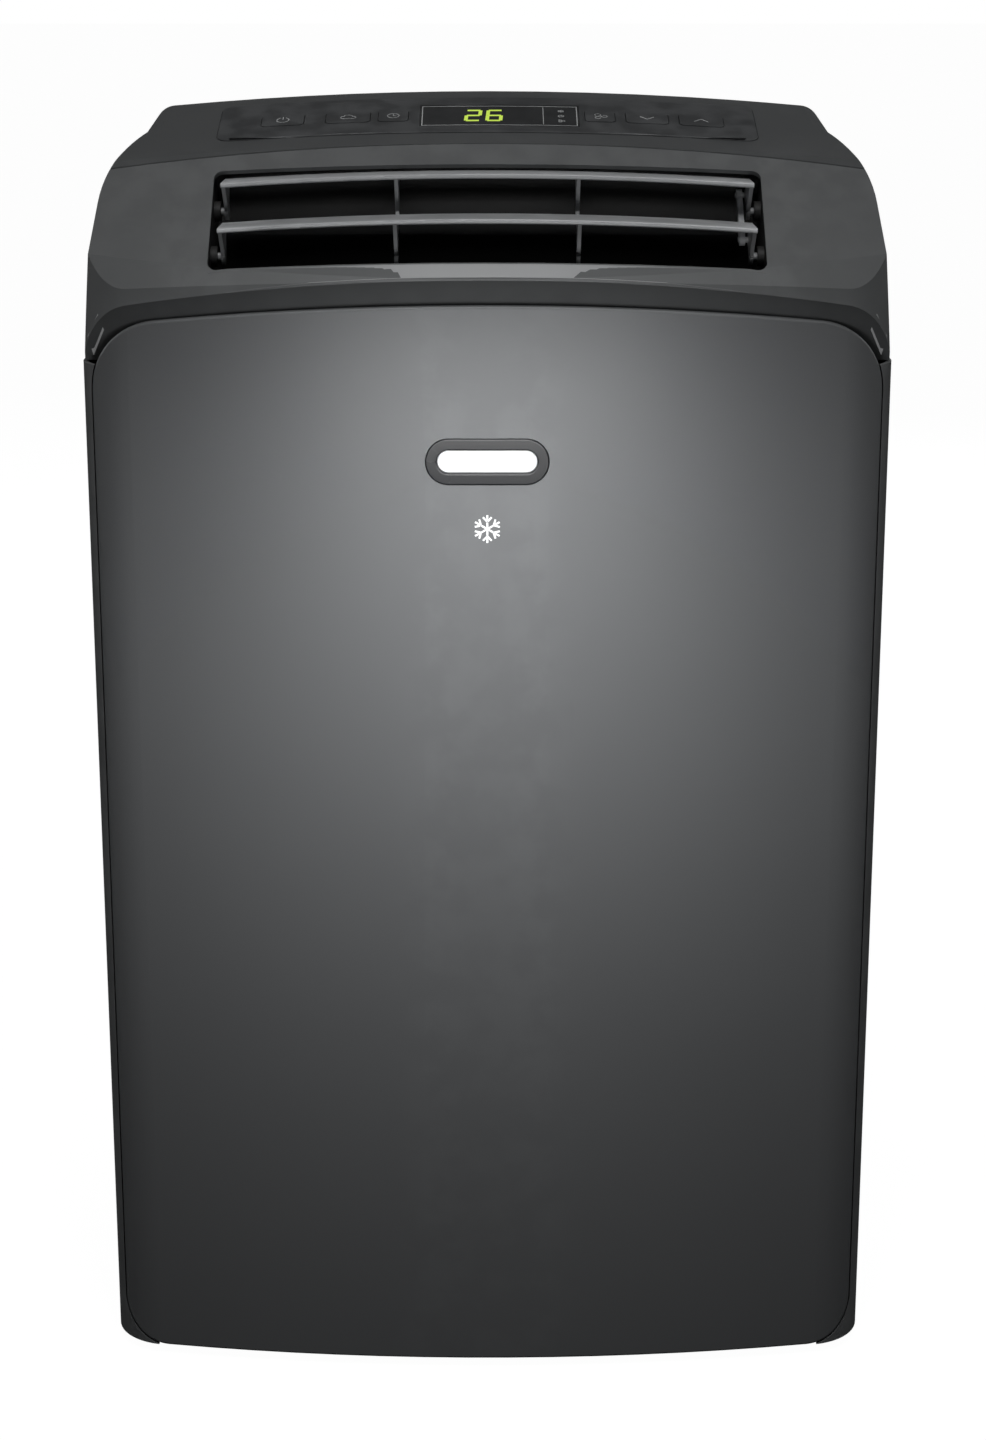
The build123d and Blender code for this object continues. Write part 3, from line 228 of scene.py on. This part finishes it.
finishes = {
    "panelGraphite": {
        "colour": (0.135, 0.139, 0.143), "roughness": 0.50, "metallic": 0.35, "smudge": 0.015,
        "grainScale": 3800.0, "bump": 0.05, "cloud": 0.02, "wear": 0.1, "dust": 0.02, "specular": 0.4,
    },
    "housingDark": {
        "colour": (0.105, 0.109, 0.111), "roughness": 0.55, "grainScale": 1700.0, "bump": 0.22,
        "wear": 0.18, "dust": 0.05, "specular": 0.42,
    },
    # the housing plastic made darker: painted shade for the control deck, which faces away from the front light
    "deckPaintedShade": {
        "colour": (0.066, 0.069, 0.071), "roughness": 0.50, "grainScale": 1700.0, "bump": 0.2,
        "wear": 0.18, "dust": 0.05, "specular": 0.42,
    },
    "overlayDark": {
        "colour": (0.045, 0.047, 0.049), "roughness": 0.36, "grainScale": 3000.0, "bump": 0.06,
        "wear": 0.5, "dust": 0.04, "specular": 0.45,
    },
    "windowBlack": {
        "colour": (0.022, 0.023, 0.024), "roughness": 0.14, "bump": 0.01, "smudge": 0.08,
        "dust": 0.04, "coat": 0.6, "coatRoughness": 0.05,
    },
    # white receiver lens; its emission is a painted glow, the lens is no lamp
    "lensWhitePaintedGlow": {
        "colour": (0.80, 0.81, 0.82), "roughness": 0.30, "bump": 0.03, "cloud": 0.02, "wear": 0.0,
        "coat": 0.5, "coatRoughness": 0.08, "glow": (0.9, 0.92, 0.95), "glowStrength": 0.28,
    },
    "bezelBlack": {"colour": (0.014, 0.015, 0.017), "roughness": 0.28, "bump": 0.04, "wear": 0.3},
    "ductBlack": {"colour": (0.012, 0.012, 0.012), "roughness": 0.6, "bump": 0.2, "wear": 0.1},
    "vaneGrey": {"colour": (0.42, 0.43, 0.44), "roughness": 0.32, "bump": 0.12, "wear": 0.5, "dust": 0.1},
    "filterMesh": {"colour": (0.03, 0.032, 0.035), "roughness": 0.7, "bump": 0.3},
    "rubber": {"colour": (0.02, 0.02, 0.02), "roughness": 0.75, "bump": 0.4, "grainScale": 900.0, "dust": 0.2},
    "wheelBlack": {"colour": (0.025, 0.025, 0.026), "roughness": 0.45, "bump": 0.1, "wear": 0.5, "dust": 0.2},
    "screwSteel": {"colour": (0.20, 0.20, 0.20), "roughness": 0.35, "metallic": 1.0, "wear": 0.7},
    "motorSteel": {"colour": (0.09, 0.09, 0.095), "roughness": 0.4, "metallic": 0.3, "wear": 0.5},
    "trayPlastic": {"colour": (0.06, 0.06, 0.06), "roughness": 0.6, "bump": 0.2},
    "finAluminium": {"colour": (0.62, 0.63, 0.64), "roughness": 0.35, "metallic": 1.0, "bump": 0.1},
    "pipeCopper": {"colour": (0.62, 0.30, 0.17), "roughness": 0.32, "metallic": 1.0, "bump": 0.08},
    "boardGreen": {"colour": (0.02, 0.12, 0.05), "roughness": 0.4, "bump": 0.05},
    "printGrey": {"colour": (0.42, 0.43, 0.43), "roughness": 0.5, "bump": 0.02, "dust": 0.02},
    # white print, its own colour, with a faint painted glow added through emission
    "printWhitePaintedGlow": {"colour": (0.86, 0.87, 0.88), "roughness": 0.4, "bump": 0.02, "dust": 0.0,
                   "glow": (1, 1, 1), "glowStrength": 0.08},
    "litDigits": {"colour": (0.2, 0.3, 0.05), "roughness": 0.4, "glow": (0.42, 0.55, 0.06), "glowStrength": 1.0},
    # lighter satin grey for the overlay's edge ribbon: a painted highlight of its bevel
    "overlayPaintedHighlight": {"colour": (0.20, 0.205, 0.21), "roughness": 0.34, "metallic": 0.3, "bump": 0.05, "dust": 0.02},
    # light grey with a faint glow: painted highlight for the corners under the lip
    "facetPaintedHighlight": {"colour": (0.55, 0.56, 0.57), "roughness": 0.25, "metallic": 0.4, "bump": 0.02, "dust": 0.0,
                    "glow": (1, 1, 1), "glowStrength": 0.06},
    "meshStrand": {"colour": (0.05, 0.052, 0.055), "roughness": 0.6, "bump": 0.2},
}
materials = {name: moulded(name, finish) for name, finish in finishes.items()}

slotFinish = {
    "panel_graphite": "panelGraphite", "housing_dark": "housingDark", "overlay_dark": "overlayDark",
    "window_black": "windowBlack", "lens_white": "lensWhitePaintedGlow", "bezel_black": "bezelBlack",
    "duct_black": "ductBlack", "vane_grey": "vaneGrey", "filter_mesh": "filterMesh", "rubber": "rubber",
    "wheel_black": "wheelBlack", "screw_steel": "screwSteel", "motor_steel": "motorSteel",
    "tray_plastic": "trayPlastic", "fin_aluminium": "finAluminium", "pipe_copper": "pipeCopper",
    "board_green": "boardGreen",
}


def dressNodes():
    # every CAD node takes the finish of its slot in the record
    for part in frame["record"]["subparts"]:
        node = nodes[part["node"]]
        finish = materials[slotFinish[part["material_slot"]]]
        if not node.material_slots:
            node.data.materials.append(finish)
        for slot in node.material_slots:
            slot.material = finish
    # the control deck takes the darker copy of the housing finish: painted shade
    for slot in nodes["control_deck"].material_slots:
        slot.material = materials["deckPaintedShade"]


dressNodes()
print("finishes:", len(materials))

# ---------------------------------------------------------------- prints on curved faces


class Surface:
    # finds points on one or more CAD nodes, seen along a direction
    def __init__(self, names, towards, across):
        self.towards = Vector(towards).normalized()
        self.across = Vector(across).normalized()
        self.up = self.towards.cross(self.across).normalized() * -1
        vertices, faces = [], []
        for name in names:
            mesh = nodes[name].data
            start = len(vertices)
            vertices += [v.co.copy() for v in mesh.vertices]
            faces += [[start + i for i in p.vertices] for p in mesh.polygons]
        self.tree = BVHTree.FromPolygons(vertices, faces)

    def at(self, centre, x, y, lift):
        far = 0.05
        start = centre + self.across * x + self.up * y - self.towards * far
        hit = self.tree.ray_cast(start, self.towards, 2 * far)[0]
        if hit is None:
            hit = start + self.towards * far
        return hit - self.towards * lift


def stroke(points, width, closed=False):
    # a ribbon of quads along a line of points, in flat coordinates
    quads = []
    count = len(points)
    last = count if closed else count - 1
    for i in range(last):
        a = Vector(points[i])
        b = Vector(points[(i + 1) % count])
        along = (b - a).normalized()
        side = Vector((-along.y, along.x)) * width / 2
        reach = along * width / 2
        quads.append([a - side - reach, b - side + reach, b + side + reach, a + side - reach])
    return quads


def arcPoints(x, y, radius, start, end, steps=14):
    angles = [math.radians(start + (end - start) * i / steps) for i in range(steps + 1)]
    return [(x + radius * math.cos(a), y + radius * math.sin(a)) for a in angles]


def blockShape(x, y, width, height):
    return [[Vector((x - width / 2, y - height / 2)), Vector((x + width / 2, y - height / 2)),
             Vector((x + width / 2, y + height / 2)), Vector((x - width / 2, y + height / 2))]]


def printOn(name, surface, centre, quads, finish, body, lift=0.05 * mm, thick=0.06 * mm, parts=4):
    # lays flat quads on the surface as thin raised ink
    mesh = bmesh.new()
    for quad in quads:
        longest = max((quad[1] - quad[0]).length, (quad[2] - quad[1]).length)
        steps = max(1, min(parts, int(longest / (2.5 * mm))))
        rows = []
        for i in range(steps + 1):
            t = i / steps
            low = quad[0].lerp(quad[1], t)
            high = quad[3].lerp(quad[2], t)
            rows.append([surface.at(centre, p.x, p.y, h) for p in (low, high) for h in (lift - thick, lift)])
        rings = [[mesh.verts.new(p) for p in row] for row in rows]
        for a, b in zip(rings, rings[1:]):
            mesh.faces.new((a[1], b[1], b[3], a[3]))
            mesh.faces.new((a[0], a[2], b[2], b[0]))
            mesh.faces.new((a[0], b[0], b[1], a[1]))
            mesh.faces.new((a[2], a[3], b[3], b[2]))
        mesh.faces.new((rings[0][0], rings[0][1], rings[0][3], rings[0][2]))
        mesh.faces.new((rings[-1][0], rings[-1][2], rings[-1][3], rings[-1][1]))
    bmesh.ops.recalc_face_normals(mesh, faces=mesh.faces)
    data = bpy.data.meshes.new(name)
    mesh.to_mesh(data)
    mesh.free()
    piece = bpy.data.objects.new(name, data)
    bpy.context.scene.collection.objects.link(piece)
    data.materials.append(materials[finish])
    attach(piece, body)
    return piece


def boxCentre(name):
    low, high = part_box(name)
    return (low + high) / 2


deckAngle = math.radians(17)
deckInward = Vector((0, math.sin(deckAngle), -math.cos(deckAngle)))


def iconPower(s):
    return stroke(arcPoints(0, 0, s, 120, 420), 0.5 * mm) + stroke([(0, 0.3 * s), (0, 1.25 * s)], 0.5 * mm)


def iconFlake(s, width=0.45 * mm):
    quads = []
    for k in range(6):
        a = math.radians(60 * k + 30)
        tip = Vector((math.cos(a), math.sin(a)))
        side = Vector((-tip.y, tip.x))
        quads += stroke([(0, 0), tip * s], width)
        for sign in (-1, 1):
            quads += stroke([tip * 0.55 * s, tip * 0.85 * s + side * sign * 0.28 * s], width)
    return quads


def iconClock(s):
    quads = stroke(arcPoints(0, 0, s, 0, 360, 20), 0.45 * mm)
    return quads + stroke([(0, 0.6 * s), (0, 0), (0.45 * s, -0.2 * s)], 0.45 * mm)


def iconFan(s):
    quads = stroke(arcPoints(0, 0, 0.22 * s, 0, 360, 10), 0.45 * mm)
    for k in range(3):
        a = 120 * k
        middle = (0.62 * s * math.cos(math.radians(a)), 0.62 * s * math.sin(math.radians(a)))
        quads += stroke(arcPoints(*middle, 0.40 * s, a - 150, a + 110, 12), 0.45 * mm)
    return quads


def iconCloud(s):
    quads = stroke(arcPoints(-0.5 * s, -0.1 * s, 0.45 * s, 90, 270, 8), 0.45 * mm)
    quads += stroke(arcPoints(0, 0.25 * s, 0.55 * s, 10, 160, 10), 0.45 * mm)
    quads += stroke(arcPoints(0.65 * s, -0.15 * s, 0.4 * s, -90, 100, 8), 0.45 * mm)
    return quads + stroke([(-0.5 * s, -0.55 * s), (0.65 * s, -0.55 * s)], 0.45 * mm)


def iconArrow(s, turn):
    return stroke([(-0.8 * s, -0.35 * s * turn), (0, 0.45 * s * turn), (0.8 * s, -0.35 * s * turn)], 0.55 * mm)


keyIcons = {
    "power_button": iconPower(3.4 * mm), "mode_button": iconCloud(4.2 * mm), "timer_button": iconClock(3.2 * mm),
    "fan_button": iconFan(3.9 * mm), "cooler_button": iconArrow(4.6 * mm, -1), "warmer_button": iconArrow(4.6 * mm, 1),
}


def printKeys():
    for name, quads in keyIcons.items():
        surface = Surface([name], deckInward, (1, 0, 0))
        printOn(name + "_icon", surface, boxCentre(name), quads, "printGrey", name)


printKeys()

displaySettings = {
    "digitWidth": 7.4 * mm, "digitHeight": 15.6 * mm, "segment": 2.0 * mm, "gap": 0.15 * mm, "slant": 0.05,
    "digitPlaces": (-14.5 * mm, -2.8 * mm), "digits": "26", "line": 0.5 * mm,
}
segmentOf = {"2": "abged", "6": "acdefg"}


def digitQuads(x, digit, s):
    w, h, t, g = s["digitWidth"] / 2, s["digitHeight"] / 2, s["segment"], s["gap"]
    spans = {
        "a": ((-w, h), (w, h)), "g": ((-w, 0), (w, 0)), "d": ((-w, -h), (w, -h)),
        "f": ((-w, h), (-w, 0)), "b": ((w, h), (w, 0)), "e": ((-w, 0), (-w, -h)), "c": ((w, 0), (w, -h)),
    }
    quads = []
    for key in segmentOf[digit]:
        a, b = (Vector(p) for p in spans[key])
        along = (b - a).normalized()
        a, b = a + along * (t / 2 + g), b - along * (t / 2 + g)
        for quad in stroke([a, b], t):
            quads.append([Vector((p.x + x + s["slant"] * p.y, p.y)) for p in quad])
    return quads


def makeDisplay(s):
    surface = Surface(["display_window"], deckInward, (1, 0, 0))
    centre = boxCentre("display_window")
    low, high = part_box("display_window")
    half = (high.x - low.x) / 2
    tall = (high.y - low.y) / 2 / math.cos(deckAngle)
    quads = []
    for x, digit in zip(s["digitPlaces"], s["digits"]):
        quads += digitQuads(x, digit, s)
    printOn("display_digits", surface, centre, quads, "litDigits", "cabinet")
    # thin frame round the window, a divider and the little state marks beside it
    edge = [(-half + 1.2 * mm, -tall + 2 * mm), (half - 1.2 * mm, -tall + 2 * mm),
            (half - 1.2 * mm, tall - 2 * mm), (-half + 1.2 * mm, tall - 2 * mm)]
    lines = stroke(edge, s["line"], closed=True)
    divider = half * 0.55
    lines += stroke([(divider, -tall + 3.5 * mm), (divider, tall - 3.5 * mm)], s["line"] * 0.7)
    printOn("display_frame", surface, centre, lines, "printGrey", "cabinet")
    marks = []
    for row, shape in enumerate((iconFlake(1.7 * mm, 0.3 * mm), iconClock(1.5 * mm), iconFan(1.9 * mm))):
        offset = Vector(((divider + half) / 2, (1 - row) * 7.5 * mm))
        marks += [[p + offset for p in quad] for quad in shape]
    printOn("display_marks", surface, centre, marks, "printGrey", "cabinet")


makeDisplay(displaySettings)

# ---------------------------------------------------------------- painted highlight strips on the head
overlayHighlightSettings = {"inner": 17.9 * mm, "width": 1.5 * mm, "half": 140 * mm, "parts": 28}


def makeOverlayPaintedHighlight(s):
    # painted highlight: a lighter ribbon along the front edge of the control strip, standing in for the light on its
    # bevel
    surface = Surface(["control_overlay"], deckInward, (1, 0, 0))
    low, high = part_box("control_overlay")
    centre = (low + high) / 2
    half = (high.y - low.y) / 2 / math.cos(deckAngle)
    line = stroke([(-s["half"], -half + 1.6 * mm), (s["half"], -half + 1.6 * mm)], s["width"])
    printOn("overlay_painted_highlight", surface, centre, line, "overlayPaintedHighlight", "cabinet", parts=s["parts"])


makeOverlayPaintedHighlight(overlayHighlightSettings)

paintedLipSettings = {"slope": 40.0, "start": 1.6 * mm, "end": 11.2 * mm, "half": 146 * mm, "rows": 60, "lift": 0.12 * mm}


def makePaintedLipStrip(s):
    # satin strip between the louver opening and the lip, carrying a painted highlight that tapers away to both ends
    angle = math.radians(s["slope"])
    inward = Vector((0, math.sin(angle), -math.cos(angle)))
    surface = Surface(["top_housing"], inward, (1, 0, 0))
    low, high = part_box("top_housing")
    lip = Vector((0, low.y, 625.4 * mm))
    quads = []
    for i in range(s["rows"]):
        a = -s["half"] + 2 * s["half"] * i / s["rows"]
        b = a + 2 * s["half"] / s["rows"]
        quads.append([Vector((a, s["start"])), Vector((b, s["start"])), Vector((b, s["end"])), Vector((a, s["end"]))])
    printOn("lip_painted_highlight", surface, lip, quads, "lipPaintedHighlight", "cabinet", lift=s["lift"], parts=1)


def makePaintedLipMaterial():
    # painted highlight: lighter in the middle of the lip, the housing's own grey at its ends
    material = materials["housingDark"].copy()
    material.name = "lipPaintedHighlight"
    tree = material.node_tree
    shader = tree.nodes["Principled BSDF"]
    coords = tree.nodes.new("ShaderNodeTexCoord")
    split = tree.nodes.new("ShaderNodeSeparateXYZ")
    tree.links.new(coords.outputs["Object"], split.inputs["Vector"])
    distance = mathNode(tree, "ABSOLUTE", split.outputs["X"])
    highlightFade = rangeNode(tree, distance, 0.03, 0.147, 1.0, 0.0)
    old = shader.inputs["Base Color"].links[0].from_socket
    # mix in the lighter grey of the painted highlight towards the middle
    tree.links.new(mixColour(tree, highlightFade, old, (0.36, 0.365, 0.37)), shader.inputs["Base Color"])
    materials["lipPaintedHighlight"] = material


makePaintedLipMaterial()
makePaintedLipStrip(paintedLipSettings)

paintedFacetSettings = {
    # corners of the painted highlight plate under the lip, for the left side: x, z
    "outline": ((-206 * mm, 605 * mm), (-213 * mm, 592 * mm), (-211 * mm, 581 * mm), (-203.5 * mm, 596 * mm)),
    "lift": 0.5 * mm,
}


def makePaintedLipFacets(s):
    # a light, faintly glowing plate at each corner under the lip: a painted highlight where the frame corner catches
    # the side light
    surface = Surface(["top_housing"], (0, 1, 0), (1, 0, 0))
    low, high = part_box("top_housing")
    for side, name in ((-1, "left_lip_painted_highlight"), (1, "right_lip_painted_highlight")):
        mesh = bmesh.new()
        ring = []
        for x, z in s["outline"]:
            start = Vector((-side * x, low.y - 0.02, z))
            hit = surface.tree.ray_cast(start, Vector((0, 1, 0)), 0.2)[0]
            hit = hit if hit is not None else Vector((-side * x, -0.140, z))
            ring.append(hit)
        front = [mesh.verts.new(p + Vector((0, -s["lift"], 0))) for p in ring]
        back = [mesh.verts.new(p + Vector((0, 0.8 * mm, 0))) for p in ring]
        mesh.faces.new(front)
        mesh.faces.new(list(reversed(back)))
        for i in range(4):
            j = (i + 1) % 4
            mesh.faces.new((front[i], back[i], back[j], front[j]))
        bmesh.ops.recalc_face_normals(mesh, faces=mesh.faces)
        data = bpy.data.meshes.new(name)
        mesh.to_mesh(data)
        mesh.free()
        piece = bpy.data.objects.new(name, data)
        bpy.context.scene.collection.objects.link(piece)
        data.materials.append(materials["facetPaintedHighlight"])
        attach(piece, "cabinet")


makePaintedLipFacets(paintedFacetSettings)

meshSettings = {"pitch": 5.0 * mm, "strand": 0.7 * mm, "gap": -1.55 * mm}


def makeFilterStrands(s):
    # woven net of each dust filter, laid on the face that looks out through the grille
    for node, body in (("upper_filter", "upper_door"), ("lower_filter", "lower_door")):
        low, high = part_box(node)
        y = high.y + s["gap"]
        mesh = bmesh.new()

        def bar(x0, x1, z0, z1, lift):
            corners = [(x0, z0), (x1, z0), (x1, z1), (x0, z1)]
            front = [mesh.verts.new((x, y + lift + s["strand"] / 2, z)) for x, z in corners]
            back = [mesh.verts.new((x, y + lift, z)) for x, z in corners]
            mesh.faces.new(front)
            mesh.faces.new(list(reversed(back)))
            for i in range(4):
                j = (i + 1) % 4
                mesh.faces.new((front[i], back[i], back[j], front[j]))

        for i in range(1, int((high.x - low.x) / s["pitch"])):
            x = low.x + i * s["pitch"]
            bar(x, x + s["strand"], low.z + 2 * mm, high.z - 2 * mm, 0.0)
        for i in range(1, int((high.z - low.z) / s["pitch"])):
            z = low.z + i * s["pitch"]
            bar(low.x + 2 * mm, high.x - 2 * mm, z, z + s["strand"], s["strand"] * 0.3)
        bmesh.ops.recalc_face_normals(mesh, faces=mesh.faces)
        data = bpy.data.meshes.new(node + "_strands")
        mesh.to_mesh(data)
        mesh.free()
        piece = bpy.data.objects.new(node + "_strands", data)
        bpy.context.scene.collection.objects.link(piece)
        data.materials.append(materials["meshStrand"])
        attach(piece, body)


makeFilterStrands(meshSettings)
print("painted_highlight_strips and filter nets made")

markSettings = {"below": 36 * mm, "size": 7.0 * mm, "stroke": 1.0 * mm}


def makePanelMark(s):
    # plain snowflake under the receiver lens
    surface = Surface(["front_panel"], (0, 1, 0), (1, 0, 0))
    centre = boxCentre("receiver_lens") - Vector((0, 0, s["below"]))
    printOn("panel_mark", surface, centre, iconFlake(s["size"], s["stroke"]), "printWhitePaintedGlow", "cabinet")


makePanelMark(markSettings)
print("prints laid on the deck, the display and the panel")

# ---------------------------------------------------------------- studio
studio = {
    "floorSize": 60.0, "worldSeen": (1.0, 1.0, 1.0), "worldLight": (0.030, 0.031, 0.032),
    "lights": (
        # name, place, aim, width, height, watts, spread in degrees, seen in reflections
        ("frontGlow", (0.0, -0.48, 0.56), (0.0, -0.17, 0.38), 0.26, 0.12, 0.62, 100, True),
        ("leftFill", (-2.3, 0.75, 1.5), (0.0, 0.0, 0.45), 1.5, 1.5, 12.0, 180, True),
        ("rightFill", (2.3, 0.75, 1.5), (0.0, 0.0, 0.45), 1.5, 1.5, 11.0, 180, True),
        ("backFill", (0.5, 2.6, 1.6), (0.0, 0.0, 0.40), 1.8, 1.8, 26.0, 180, False),
        ("topSoft", (0.0, -1.05, 1.75), (0.0, -0.14, 0.62), 0.7, 0.5, 11.0, 180, True),
    ),
}


def makeStudio(s):
    for name, place, aim, width, height, watts, spread, mirrored in s["lights"]:
        data = bpy.data.lights.new(name, "AREA")
        data.shape = "RECTANGLE"
        data.size = width
        data.size_y = height
        data.energy = watts
        data.spread = math.radians(spread)
        lamp = bpy.data.objects.new(name, data)
        lamp.location = place
        lamp.rotation_euler = (Vector(aim) - Vector(place)).to_track_quat("-Z", "Y").to_euler()
        lamp.visible_camera = False
        lamp.visible_glossy = mirrored
        bpy.context.scene.collection.objects.link(lamp)
    world = bpy.data.worlds.new("studio")
    bpy.context.scene.world = world
    world.use_nodes = True
    tree = world.node_tree
    background = tree.nodes["Background"]
    path = tree.nodes.new("ShaderNodeLightPath")
    tree.links.new(mixColour(tree, path.outputs["Is Camera Ray"], s["worldLight"], s["worldSeen"]),
                   background.inputs["Color"])


def makeFloor(s):
    half = s["floorSize"] / 2
    mesh = bmesh.new()
    corners = [mesh.verts.new((x * half, y * half, 0)) for x, y in ((-1, -1), (1, -1), (1, 1), (-1, 1))]
    mesh.faces.new(corners)
    data = bpy.data.meshes.new("floor")
    mesh.to_mesh(data)
    mesh.free()
    floor = bpy.data.objects.new("floor", data)
    bpy.context.scene.collection.objects.link(floor)
    material = bpy.data.materials.new("paleFloor")
    material.use_nodes = True
    tree = material.node_tree
    shader = tree.nodes["Principled BSDF"]
    shader.inputs["Roughness"].default_value = 0.9
    shader.inputs["Specular IOR Level"].default_value = 0.1
    cloud = noiseNode(tree, 1.5, 3.0)
    tree.links.new(mixColour(tree, cloud.outputs["Fac"], (0.05, 0.05, 0.05), (0.055, 0.055, 0.055)),
                   shader.inputs["Base Color"])
    path = tree.nodes.new("ShaderNodeLightPath")
    tree.links.new(mixColour(tree, path.outputs["Is Camera Ray"], (0, 0, 0), (1, 1, 1)),
                   shader.inputs["Emission Color"])
    shader.inputs["Emission Strength"].default_value = 0.98
    data.materials.append(material)


makeStudio(studio)
makeFloor(studio)
print("studio lit")
